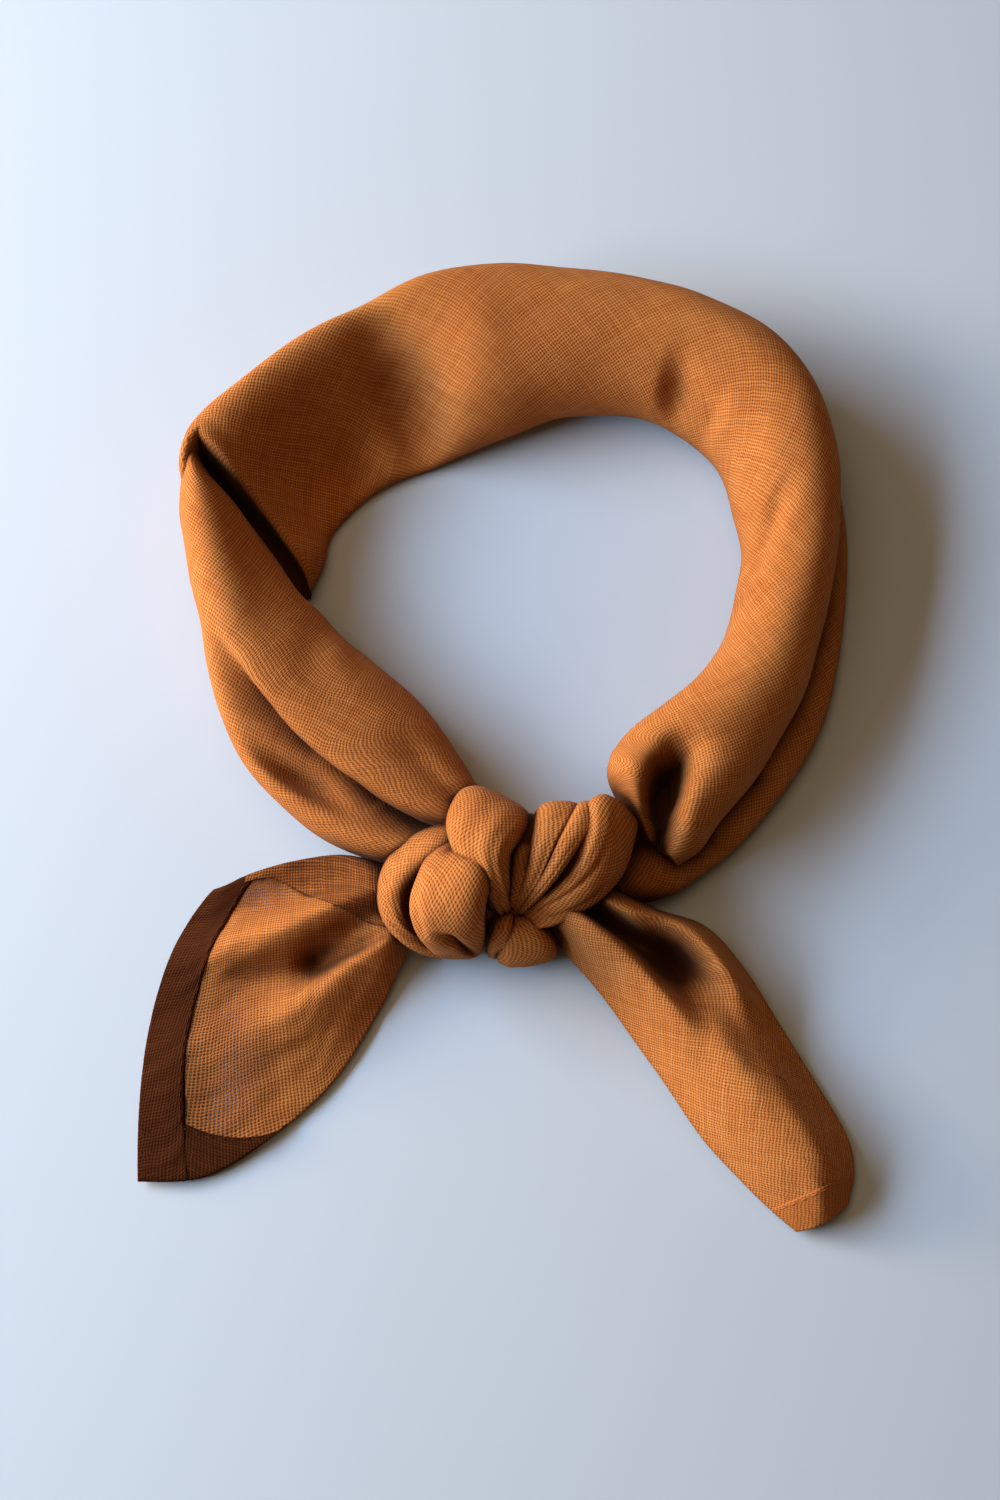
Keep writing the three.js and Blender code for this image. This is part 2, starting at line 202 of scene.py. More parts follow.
TOP_FOLD = table(FOLD, [
    [16, -25, 3, 13, 9, 8, 0],
    [16, -25, 16, 15, 9, 8, 0],
    [15.8, -25.6, 25, 13, 9, 0, 0],
    [12, -33.5, 29, 8, 8, -12, 0],
    [9, -41, 26, 5.6, 7, -18, 0],
    [5, -46.5, 21, 4.5, 5, -22, 0],
    [2.5, -50, 14, 3.5, 4, -25, 0],
])

MIDDLE_FOLD = table(FOLD, [
    [25, -25.5, 3, 9, 9, -5, 0],
    [25, -25.5, 15, 11, 10, -8, 0],
    [23.2, -25.8, 25.5, 9, 9, -18, -8],
    [17.5, -34, 29.5, 6.4, 8, -32, -8],
    [13, -41.5, 27, 4.6, 7, -38, 0],
    [7.5, -47, 21, 4, 5, -42, 0],
    [3, -50.5, 14, 3.5, 4, -45, 0],
])

RIGHT_FOLD = table(FOLD, [
    [30.8, -26, 3, 15, 9, -30, -10],
    [30.8, -25.5, 13, 16, 10, -30, -14],
    [29.6, -25.4, 23, 17, 10, -34, -34],
    [26.8, -35, 24, 19, 11, -42, -52],
    [20.8, -43, 22, 15, 10, -50, -48],
    [12, -48.8, 18.5, 10, 8, -58, -28],
    [4, -52, 14, 5, 5, -60, 0],
])

VALLEY_FOLD = table(FOLD, [
    [8, -26, 4, 13, 9, -8, 0],
    [8, -26.5, 16, 14, 9, -8, 0],
    [8, -31, 25, 12, 8, -8, 0],
    [6.3, -38, 26, 9, 7, -6, 0],
    [4, -45, 22, 5.5, 6, 0, 0],
    [2.5, -50, 13, 4, 5, 0, 0],
])

SMALL_LOWER_FOLD = table(FOLD, [
    [2, -50, 17, 4, 5, 0, 0],
    [0.5, -53, 18, 6, 6, 0, 0],
    [-0.5, -56, 13, 7, 6, 0, 0],
    [-1, -57, 5, 6, 6, 0, 0],
])

LOWER_FOLD = table(FOLD, [
    [4, -50, 15, 5, 5, 0, 0],
    [6, -53, 16, 10, 7, 5, 0],
    [7.2, -56.5, 13, 15, 8, 8, 0],
    [7.2, -58.5, 8, 17, 8, 8, 0],
    [7.2, -57.5, 3, 15, 6, 8, 0],
])

# The cloth inside the knot, where the band and the free ends stop.
KNOT_CORE = table(FOLD, [
    [-24, -45, 9, 10, 16, 90, 0],
    [-14, -45, 11, 18, 22, 88, 0],
    [2, -42, 11, 22, 23, 88, 0],
    [18, -38, 11, 20, 22, 80, 0],
    [30, -34, 9, 14, 17, 75, 0],
])

UPPER_LEFT_CREASES = table(CREASE, [
    [3.9, 6.6, 124, 108, 1.2, 9, 9],
    [4.2, 6.6, 62, 74, 0.8, 9, 9],
])

LEFT_BULGE_CREASES = table(CREASE, [
    [3.0, 5.0, 100, 40, 3.6, 8, 10],
    [1.0, 3.6, 142, 128, 0.9, 14, 14],
])

RIGHT_FOLD_CREASES = table(CREASE, [
    [2.4, 6.2, 118, 104, 1.2, 9, 9],
    [2.9, 6.2, 72, 80, 0.8, 9, 9],
])

# The free ends seen from above: one edge, the middle and the other edge of a row across the
# cloth, then the height of its top at seven places from edge to edge.
TAIL = ["aX", "aY", "mX", "mY", "bX", "bY", "h0", "h1", "h2", "h3", "h4", "h5", "h6"]
HEIGHTS = ["h0", "h1", "h2", "h3", "h4", "h5", "h6"]

LEFT_TAIL = table(TAIL, [
    [-28, -36, -27, -46, -24, -56, 10, 12, 13, 11, 12, 10, 6],
    [-36, -34, -33, -49, -28, -64, 12, 13, 15, 10, 13, 10, 3],
    [-45, -33, -41, -54, -33, -74, 12, 11, 15, 7, 11, 7, 1.5],
    [-58, -35, -54, -62, -45, -93, 11, 8, 14, 6, 10, 5, 1.2],
    [-69, -38, -71, -69, -63, -109, 9, 5.5, 11, 4.5, 8, 4, 1.2],
    [-74, -40, -82, -71, -79, -118, 7, 4.5, 6.5, 3.5, 5.5, 3, 1.2],
    [-78, -41, -93, -71, -96, -119, 5, 3.5, 3.5, 2.5, 2.5, 2, 1.2],
])

RIGHT_TAIL = table(TAIL, [
    [9, -49, 18, -44, 27, -38, 10, 17, 19, 15, 18, 16, 9],
    [16, -57, 28, -51, 42, -46, 7, 19, 22, 15, 20, 17, 6],
    [27, -69, 41, -60, 56, -51, 3, 14, 19, 9, 17, 17, 5],
    [37, -83, 52, -73, 66, -62, 2, 11, 17, 12, 12, 15, 4],
    [44, -93, 59, -84, 74, -75, 2, 10, 15, 17, 13, 9, 3],
    [54, -108, 69, -99, 83, -90, 2, 9, 14, 16.5, 15, 8, 2],
    [64, -119, 78, -112, 92, -106, 2, 8, 12, 14.5, 14, 8, 2],
    [71, -126, 83, -121, 94, -116, 2, 6, 9, 11.5, 10, 6, 2],
    [78, -132, 85, -130, 92, -125, 2, 3, 4.5, 5, 4.5, 3, 2],
])

LEFT_TAIL_PRESSES = table(PRESS, [
    [-49.5, -61, 0.85, 5.5, 3.2, 25],
    [-38, -57, 0.35, 11, 2.2, 26],
    [-67, -65, 0.3, 14, 3.5, 0],
    [-78, -98, 0.3, 14, 8, 90],
])

RIGHT_TAIL_PRESSES = table(PRESS, [
    [46.5, -61, 0.95, 8.5, 4.4, -42],
    [29, -51.5, 0.45, 9, 1.8, -33],
])

# Where the hems start, as shares of the left end's length and width and the right end's length
LEFT_HEM_ALONG = 0.866
LEFT_HEM_ACROSS = 0.86
RIGHT_HEM_ALONG = 0.88

# The cloth turned over the left end: how far along it reaches, how wide it is at the knot, how fast
# and how softly it narrows, and the least that is left of it, all as shares
FLAP_ALONG = 0.66
FLAP_WIDE = 0.86
FLAP_SLANT = 1.52
FLAP_SOFT = 24
FLAP_LEAST = 0.035

# How far each layer of the ends stands over the heights in the tables, in mm
LEFT_CLOTH_UP = 0.8
FLAP_UP = 2.0
SIDE_HEM_UP = 1.55
END_HEM_UP = 1.4
RIGHT_CLOTH_UP = 0.4
RIGHT_HEM_UP = 0.8


def between(values, place):
    """A column's value between its rows, by a curve that passes through every row."""
    last = len(values) - 1
    i = np.clip(np.floor(place).astype(int), 0, last - 1)
    t = place - i
    p = [values[np.clip(i + k, 0, last)] for k in (-1, 0, 1, 2)]
    a = 2 * p[1]
    b = p[2] - p[0]
    c = 2 * p[0] - 5 * p[1] + 4 * p[2] - p[3]
    d = 3 * (p[1] - p[2]) + p[3] - p[0]
    return (a + b * t + c * t ** 2 + d * t ** 3) / 2


def rows_at(rows, place):
    return {name: between(column, place) for name, column in rows.items()}


def row_count(rows):
    return len(next(iter(rows.values())))


# A crease fades in and out over this share of its length
FADE = 0.28


def crease_depth(creases, place, angle):
    depth = np.zeros_like(place)
    for start, stop, start_at, end_at, deep, before, after in zip(*creases.values()):
        along = (place - start) / (stop - start)
        at = start_at + (end_at - start_at) * along
        aside = angle - at
        aside = aside / np.where(aside < 0, before, after)
        ends = np.clip(np.minimum(along, 1 - along) / FADE, 0, 1)
        ends = ends * ends * (3 - 2 * ends)
        depth += deep * ends * np.exp(-aside * aside)
    return depth


def pressed(points, presses):
    for x, y, share, long, wide, turn in zip(*presses.values()):
        along = math.cos(math.radians(turn)), math.sin(math.radians(turn))
        east, north = points[:, :, 0] - x, points[:, :, 1] - y
        far = ((east * along[0] + north * along[1]) / long) ** 2
        far = far + ((north * along[0] - east * along[1]) / wide) ** 2
        points[:, :, 2] *= 1 - share * np.exp(-far)
    return points


def soft_waves(u, v, seed, length, tall, stretch=2.5):
    """Gentle seeded unevenness of the cloth, longer along u than along v."""
    draw = np.random.default_rng(seed)
    total = np.zeros_like(u)
    count = 9
    for _ in range(count):
        turn = draw.uniform(-0.5, 0.5)
        size = length * draw.uniform(0.6, 1.7)
        along = u * math.cos(turn) / (size * stretch) + v * math.sin(turn) / (size * stretch)
        aside = v * math.cos(turn) / size - u * math.sin(turn) / size
        total += np.sin(2 * math.pi * (along + draw.uniform()) + 2 * np.sin(2 * math.pi * along * 0.4))
        total += np.sin(2 * math.pi * (aside + draw.uniform()))
    return tall * total / count


def lengths(points, axis):
    """The distance run along one axis of a grid of points."""
    steps = np.linalg.norm(np.diff(points, axis=axis), axis=2)
    pad = [(0, 0), (0, 0)]
    pad[axis] = (1, 0)
    return np.pad(np.cumsum(steps, axis=axis), pad)


def outward(points):
    """Unit normals of a grid of rings, pointing out of the loft."""
    along = np.gradient(points, axis=0)
    wrapped = np.concatenate([points[:, -1:], points, points[:, :1]], axis=1)
    round_it = (wrapped[:, 2:] - wrapped[:, :-2]) / 2
    normal = np.cross(along, round_it)
    normal /= np.maximum(np.linalg.norm(normal, axis=2, keepdims=True), 1e-9)
    middle = points.mean(axis=1, keepdims=True)
    if ((points - middle) * normal).sum() < 0:
        normal = -normal
    return normal


def ring_uv(points):
    """Where each point of a loft lies on its cloth, in mm: along the roll, and round it."""
    closed = np.concatenate([points, points[:, :1]], axis=1)
    round_it = lengths(closed, 1)
    along = lengths(points.mean(axis=1, keepdims=True), 0)
    return np.stack([np.broadcast_to(along, round_it.shape), round_it], axis=2)


def finished(points, seed, length, tall):
    """A loft with the soft unevenness of cloth, kept on its surface, and its place on the cloth."""
    uv = ring_uv(points)
    bump = soft_waves(uv[:, :-1, 0], uv[:, :-1, 1], seed, length, tall)
    points = points + outward(points) * bump[:, :, None]
    points[:, :, 2] = np.maximum(points[:, :, 2], 0)
    return {"points": points, "uv": uv}


# Round the section a loft starts at its underside, where the join of the weave doesn't show
UNDERSIDE = -90

# The open lip at the start of the far stretch bows away between these rows, as far to the right
# as towards the back
LIP_START = 0.5
LIP_END = 3.8
LIP_SIDE = math.sqrt(0.5)


def roll(rows, creases, presses, along, around, seed, tall=0.35, bow=0.0):
    """A rolled stretch: a leaning oval section, creased, pressed down in places, and flat where it
    rests. bow is how far the open lip at the start of the far stretch curves away, in mm."""
    place = np.linspace(0, row_count(rows) - 1, along)[:, None]
    turn = np.linspace(UNDERSIDE, UNDERSIDE + 360, around, endpoint=False)[None, :]
    row = rows_at(rows, place)
    sides = [("outX", "inX"), ("outY", "inY"), ("top", "foot")]
    half = [(row[a] - row[b]) / 2 for a, b in sides]
    middle = [(row[a] + row[b]) / 2 for a, b in sides]
    across = np.cos(np.radians(turn)) + 0 * place
    up = np.sin(np.radians(turn + row["lean"]))
    reach = np.sqrt((half[0] * across) ** 2 + (half[1] * across) ** 2 + (half[2] * up) ** 2)
    keep = 1 - crease_depth(creases, place + 0 * turn, turn + 0 * place) / np.maximum(reach, 1)
    lip = np.clip((place - LIP_START) / 0.5, 0, 1) * np.clip((LIP_END - place) / 1.6, 0, 1)
    away = bow * lip * np.maximum(np.sin(np.radians(turn)), 0) * LIP_SIDE
    points = np.stack([
        middle[0] + half[0] * across * keep + away,
        middle[1] + half[1] * across * keep + away,
        middle[2] + half[2] * up * keep,
    ], axis=2)
    return finished(pressed(points, presses), seed, 16, tall)


# A fold's section is fuller than an oval: cloth folded flat with round edges
FULL_SIDES = 0.72
FULL_TOP = 0.88

# The small pleats of a fold: how many go round it, and where they start and over how much of its
# length they deepen, as shares
PLEATS = 11
PLEATS_START = 0.3
PLEATS_DEEPEN = 0.5


def fuller(wave, power):
    return np.sign(wave) * np.abs(wave) ** power


def fold(rows, creases, along, around, seed, tall=0.15, pleat=0.0):
    """A fold of the knot: a full oval section carried along its middle line, with small pleats
    that deepen towards its end, pleat mm deep there."""
    last = row_count(rows) - 1
    place = np.linspace(0, last, along)[:, None]
    turn = np.radians(np.linspace(UNDERSIDE, UNDERSIDE + 360, around, endpoint=False))[None, :]
    row = rows_at(rows, place)
    line = np.concatenate([row["x"], row["y"], row["z"]], axis=1)
    direction = np.gradient(line, axis=0)
    spread, tilt = np.radians(row["turn"][:, 0]), np.radians(row["tilt"][:, 0])
    wide = np.stack([np.cos(spread) * np.cos(tilt), np.sin(spread) * np.cos(tilt), np.sin(tilt)], axis=1)
    thick = np.cross(direction, wide)
    thick /= np.linalg.norm(thick, axis=1, keepdims=True)
    side = row["wide"] / 2 * fuller(np.cos(turn), FULL_SIDES)
    top = row["thick"] / 2 * fuller(np.sin(turn), FULL_TOP)
    depth = crease_depth(creases, place + 0 * turn, np.degrees(turn) + 0 * place)
    gathered = np.clip((place - PLEATS_START * last) / (PLEATS_DEEPEN * last), 0, 1)
    depth = depth + pleat * gathered * (0.5 + 0.5 * np.sin(PLEATS * turn + seed + 0.6 * place))
    keep = 1 - depth / np.maximum(np.sqrt(side ** 2 + top ** 2), 1)
    points = line[:, None] + wide[:, None] * (side * keep)[:, :, None]
    points = points + thick[:, None] * (top * keep)[:, :, None]
    return finished(points, seed, 9, tall)


def tail_top(rows, u, v):
    """The top of a free end at places along and across it, both rising from 0 to 1."""
    row = rows_at(rows, u * (row_count(rows) - 1))
    a = (1 - v) * (1 - 2 * v)
    m = 4 * v * (1 - v)
    b = v * (2 * v - 1)
    x = row["aX"] * a + row["mX"] * m + row["bX"] * b
    y = row["aY"] * a + row["mY"] * m + row["bY"] * b
    seats = np.stack([row[name] + 0 * v for name in HEIGHTS], axis=0)
    place = v * (len(HEIGHTS) - 1) + 0 * u
    i = np.clip(np.floor(place).astype(int), 0, len(HEIGHTS) - 2)
    t = place - i
    near = [np.clip(i + k, 0, len(HEIGHTS) - 1)[None] for k in (-1, 0, 1, 2)]
    p = [np.take_along_axis(seats, seat, 0)[0] for seat in near]
    c = 2 * p[0] - 5 * p[1] + 4 * p[2] - p[3]
    d = 3 * (p[1] - p[2]) + p[3] - p[0]
    z = (2 * p[1] + (p[2] - p[0]) * t + c * t ** 2 + d * t ** 3) / 2
    return np.stack([x + 0 * z, y + 0 * z, z], axis=2)


def tail_sheet(
    rows, presses, along, across, thick, seed, lift, tall, u_from=0.0, u_to=1.0, span=None
):
    """A stretch of a free end as a thin closed sheet. u_from is where it starts, or a function that
    gives it for each place across. span gives the part of the width that it covers at each place
    along it, and lift how far its top stands over the cloth, in mm, as a number or a function."""
    side = np.linspace(0, 1, across)[None, :]
    start = u_from(side) if callable(u_from) else u_from + 0 * side
    u = start + (u_to - start) * np.linspace(0, 1, along)[:, None]
    low, high = span(u) if span else (0.0, 1.0)
    v = low + (high - low) * side
    top = pressed(tail_top(rows, u, v), presses)
    uv = np.stack([lengths(top, 0).mean(axis=1, keepdims=True) + 0 * v, lengths(top, 1)], axis=2)
    top[:, :, 2] += soft_waves(uv[:, :, 0], uv[:, :, 1], seed, 9, tall)
    top[:, :, 2] += lift(u, v) if callable(lift) else lift
    # The edges are rounded: the top bends down to half the wall's thickness at the sides.
    round_off = 0.5 * thick * edge_drop(across)[None, :] + 0.5 * thick * edge_drop(along)[:, None]
    top[:, :, 2] = np.maximum(top[:, :, 2], thick) - round_off
    under = top.copy()
    under[:, :, 2] = top[:, :, 2] + 2 * round_off - thick
    under[:, :, 2] = np.maximum(under[:, :, 2], 0)
    points = np.concatenate([top, under[:, ::-1]], axis=1)
    flat = np.concatenate([uv, uv[:, ::-1], uv[:, :1]], axis=1)
    return {"points": points, "uv": flat}


def run_along(line):
    """How far each point of a line lies from its start, along the line."""
    return np.concatenate([[0], np.cumsum(np.linalg.norm(np.diff(line, axis=0), axis=1))])


THREAD_SIDES = 8


def thread(line, thick):
    """A round thread along a line of points, thinner at its ends. It is marked thin: it lies on the
    cloth, is open all round and shades nothing."""
    far = run_along(line)
    swell = np.sin(math.pi * np.clip(0.04 + 0.92 * far / far[-1], 0, 1)) ** 0.5
    forward = line[-1] - line[0]
    aside = np.cross(forward, (0, 0, 1))
    aside /= np.linalg.norm(aside)
    turn = np.linspace(0, 2 * math.pi, THREAD_SIDES, endpoint=False)
    around = aside * np.cos(turn)[:, None] + np.array((0, 0, 1)) * np.sin(turn)[:, None]
    points = line[:, None] + around[None] * swell[:, None, None] * thick / 2
    round_it = np.linspace(0, 3 * thick, THREAD_SIDES + 1)
    uv = np.stack(np.broadcast_arrays(far[:, None], round_it[None, :]), axis=2)
    return {"points": points, "uv": uv, "thin": True}


# A running stitch shows for this length, then the thread goes under for the gap
STITCH = 2.1
STITCH_GAP = 1.2
STITCH_THREAD = 0.42


def stitches(line):
    """Running stitches along a line of points on a hem."""
    far = run_along(line)
    made = []
    for start in np.arange(STITCH_GAP, far[-1] - STITCH, STITCH + STITCH_GAP):
        at = start + STITCH * np.linspace(0, 1, 7)
        path = np.stack([np.interp(at, far, line[:, k]) for k in range(3)], axis=1)
        made.append(thread(path, STITCH_THREAD))
    return made


def edge_drop(count, steps=3):
    """How far the edges of a row of points are rounded down, within a few points of its ends."""
    i = np.arange(count)
    near = np.minimum(i, count - 1 - i)
    return np.where(near < steps, 0.5 * (1 - near / steps) ** 2, 0.0)


def ring_quads(rings, sides, start):
    """The four corners of each face between a loft's rings, as numbers of its points."""
    i, j = np.meshgrid(np.arange(rings - 1), np.arange(sides), indexing="ij")
    after = (j + 1) % sides
    corners = [i * sides + j, i * sides + after, (i + 1) * sides + after, (i + 1) * sides + j]
    return (np.stack(corners, axis=2).reshape(-1, 4) + start).tolist()


# Every cloth mesh with the lofts that it is made of
MADE = []


def cloth_object(name, lofts, material, weave_turn=45, second=None):
    """One object of closed lofts. Its UV map is the place on the cloth in threads, turned so that
    the weave runs as it was cut: 45 degrees is on the bias. Lofts so marked have the second
    material, which is painted darker as shade."""
    vertices, faces, places, slots = [], [], [], []
    start = 0
    turn = math.radians(weave_turn)
    for loft in lofts:
        points, uv = loft["points"], loft["uv"]
        rings, sides = points.shape[:2]
        vertices.append(points.reshape(-1, 3))
        faces += ring_quads(rings, sides, start)
        corners = np.stack([uv[:-1, :-1], uv[:-1, 1:], uv[1:, 1:], uv[1:, :-1]], axis=2)
        places.append(corners.reshape(-1, 2))
        for end in (0, rings - 1):
            cap = [start + end * sides + k for k in range(sides)]
            faces.append(cap)
            places.append(uv[end, :sides])
        slots += [int("doubled" in loft)] * (len(faces) - len(slots))
        start += rings * sides
    mesh = bpy.data.meshes.new(name)
    mesh.from_pydata(((np.concatenate(vertices) - MIDDLE) * MM).tolist(), [], faces)
    where = np.concatenate(places) / THREAD_PITCH
    turned = np.stack([
        where[:, 0] * math.cos(turn) - where[:, 1] * math.sin(turn),
        where[:, 0] * math.sin(turn) + where[:, 1] * math.cos(turn),
    ], axis=1)
    layer = mesh.uv_layers.new(name="weave")
    layer.data.foreach_set("uv", turned.astype(np.float32).ravel())
    mesh.polygons.foreach_set("use_smooth", [True] * len(mesh.polygons))
    mesh.polygons.foreach_set("material_index", slots)
    mesh.materials.append(material)
    if second:
        mesh.materials.append(second)
    mesh.validate()
    point_out(mesh)
    MADE.append((mesh, lofts))
    piece = bpy.data.objects.new(name, mesh)
    bpy.context.collection.objects.link(piece)
    return piece


# How open each place of the cloth lies, for the shade painted into its colour in hollows: rays
# that start this far over it, in mm, meet cloth or the floor within the reach. What is far closes
# it less, and the floor closes it by a share. Rays are cast from one point in three, along the
# cloth and round it.
RAY_START = 0.9
HOLLOW_REACH = 34.0
FAR_LESS = 0.7
FLOOR_SHARE = 0.6
HOLLOW_STEP = 3
HOLLOW_RAYS = 14


def ray_directions():
    """Directions over a half sphere round +Z, denser near its pole."""
    i = np.arange(HOLLOW_RAYS)
    flat = np.sqrt((i + 0.5) / HOLLOW_RAYS)
    turn = i * math.pi * (3 - math.sqrt(5))
    return np.stack([flat * np.cos(turn), flat * np.sin(turn), np.sqrt(1 - flat ** 2)], axis=1)


def openness(points, normals, tree, directions):
    """For each point how open it lies, from 0 to 1."""
    from mathutils import Vector
    side = np.cross(normals, (0.31, 0.17, 0.93))
    side /= np.maximum(np.linalg.norm(side, axis=1, keepdims=True), 1e-9)
    other = np.cross(normals, side)
    found = np.ones(len(points))
    rays = (
        directions[None, :, 0:1] * side[:, None]
        + directions[None, :, 1:2] * other[:, None]
        + directions[None, :, 2:3] * normals[:, None]
    )
    starts = points + normals * RAY_START
    for k in range(len(points)):
        start = Vector(starts[k])
        closed = 0.0
        for ray in rays[k]:
            far = tree.ray_cast(start, Vector(ray), HOLLOW_REACH)[3]
            if far is not None:
                closed += 1 - FAR_LESS * far / HOLLOW_REACH
            elif ray[2] < 0 and start.z < -ray[2] * HOLLOW_REACH:
                closed += FLOOR_SHARE * (1 + start.z / ray[2] / HOLLOW_REACH)
        found[k] = 1 - closed / HOLLOW_RAYS
    return found


def coarse_grid(points):
    """The rings of a loft that rays are cast from, its last one with them, and their points."""
    last = len(points) - 1
    rings = np.unique(np.append(np.arange(0, last + 1, HOLLOW_STEP), last))
    return rings, points[rings][:, ::HOLLOW_STEP]


def store_openness_for_painted_shade():
    """Store at every vertex how open it lies, for the shade that the material paints into hollows."""
    from mathutils.bvhtree import BVHTree
    grids, vertices, faces, start = [], [], [], 0
    for _, lofts in MADE:
        for loft in lofts:
            if "thin" in loft:
                continue
            rings, points = coarse_grid(loft["points"])
            grids.append((rings, points))
            count, sides = points.shape[:2]
            faces += ring_quads(count, sides, start)
            vertices.append(points.reshape(-1, 3))
            start += count * sides
    tree = BVHTree.FromPolygons(np.concatenate(vertices).tolist(), faces)
    directions = ray_directions()
    grids = iter(grids)
    for mesh, lofts in MADE:
        values = []
        for loft in lofts:
            if "thin" in loft:
                values.append(np.ones(loft["points"][:, :, 0].size))
                continue
            rings, points = next(grids)
            normals = outward(points)
            painted_shade_openness = openness(points.reshape(-1, 3), normals.reshape(-1, 3), tree, directions)
            painted_shade_openness = painted_shade_openness.reshape(points.shape[:2])
            # Each point is evened out with the two beside it.
            beside = np.roll(painted_shade_openness, 1, 1) + np.roll(painted_shade_openness, -1, 1)
            painted_shade_openness = 0.5 * painted_shade_openness + 0.25 * beside
            values.append(spread_over(painted_shade_openness, rings, loft["points"].shape[:2]))
        layer = mesh.attributes.new("open", "FLOAT", "POINT")
        layer.data.foreach_set("value", np.concatenate(values).astype(np.float32))


def spread_over(coarse, rings, shape):
    """Values of a coarse grid of rings carried over to every point of the loft."""
    sides = np.arange(shape[1]) / HOLLOW_STEP
    low = np.floor(sides).astype(int) % coarse.shape[1]
    share = sides - np.floor(sides)
    if shape[1] % HOLLOW_STEP:
        share = np.where(low == coarse.shape[1] - 1, 0, share)
    wide = coarse[:, low] * (1 - share) + coarse[:, (low + 1) % coarse.shape[1]] * share
    full = np.stack([np.interp(np.arange(shape[0]), rings, wide[:, k]) for k in range(shape[1])], axis=1)
    return full.ravel()


def point_out(mesh):
    """Turn every face of a mesh to the outside."""
    import bmesh
    work = bmesh.new()
    work.from_mesh(mesh)
    bmesh.ops.recalc_face_normals(work, faces=work.faces)
    work.to_mesh(mesh)
    work.free()


class Value:
    """A number in a material, so that shader maths is written as plain expressions."""

    def __init__(self, cloth, socket):
        self.cloth = cloth
        self.socket = socket

    def maths(self, operation, other=None, swapped=False):
        pair = [self] if other is None else [self, other]
        if swapped:
            pair.reverse()
        return self.cloth.node("ShaderNodeMath", {"operation": operation}, dict(enumerate(pair)))[0]

    def __add__(self, other):
        return self.maths("ADD", other)

    def __radd__(self, other):
        return self.maths("ADD", other)

    def __sub__(self, other):
        return self.maths("SUBTRACT", other)

    def __rsub__(self, other):
        return self.maths("SUBTRACT", other, swapped=True)

    def __mul__(self, other):
        return self.maths("MULTIPLY", other)

    def __rmul__(self, other):
        return self.maths("MULTIPLY", other)

    def __pow__(self, other):
        return self.maths("POWER", other)

    def __abs__(self):
        return self.maths("ABSOLUTE")

    def sine(self):
        return self.maths("SINE")

    def sign(self):
        return self.maths("SIGN")

    def whole(self):
        return self.maths("FLOOR")

    def larger(self, other):
        return self.maths("MAXIMUM", other)

    def smaller(self, other):
        return self.maths("MINIMUM", other)


class Cloth:
    """A material and the one method that adds a node to it."""

    def __init__(self, name):
        self.material = bpy.data.materials.new(name)
        self.material.use_nodes = True
        self.tree = self.material.node_tree
        self.tree.nodes.clear()

    def node(self, kind, settings, inputs):
        made = self.tree.nodes.new(kind)
        for key, value in settings.items():
            if key == "stops":
                set_stops(made.color_ramp, value)
            else:
                setattr(made, key, value)
        for key, value in inputs.items():
            if isinstance(value, Value):
                self.tree.links.new(value.socket, made.inputs[key])
            else:
                made.inputs[key].default_value = value
        return [Value(self, socket) for socket in made.outputs if socket.enabled]

    def mixed(self, share, low, high):
        return self.node("ShaderNodeMix", {"data_type": "RGBA"}, {0: share, 6: low, 7: high})[0]

    def noise(self, place, scale, detail=2.0, rough=0.5):
        inputs = {"Vector": place, "Scale": scale, "Detail": detail, "Roughness": rough}
        return self.node("ShaderNodeTexNoise", {}, inputs)[0]


def set_stops(ramp, stops):
    while len(ramp.elements) < len(stops):
        ramp.elements.new(0.5)
    for element, (position, colour) in zip(ramp.elements, stops):
        element.position = position
        element.color = (*colour, 1)


def darker(colour, share):
    return (*[channel * share for channel in colour], 1)


# How far the threads stand up, in metres
THREAD_RELIEF = 0.16 * MM

# Painted shade in hollows: darkest where the cloth lies less open than this, fading at this rate
PAINTED_SHADE_BELOW = 0.43
PAINTED_SHADE_FADE_RATE = 1.82


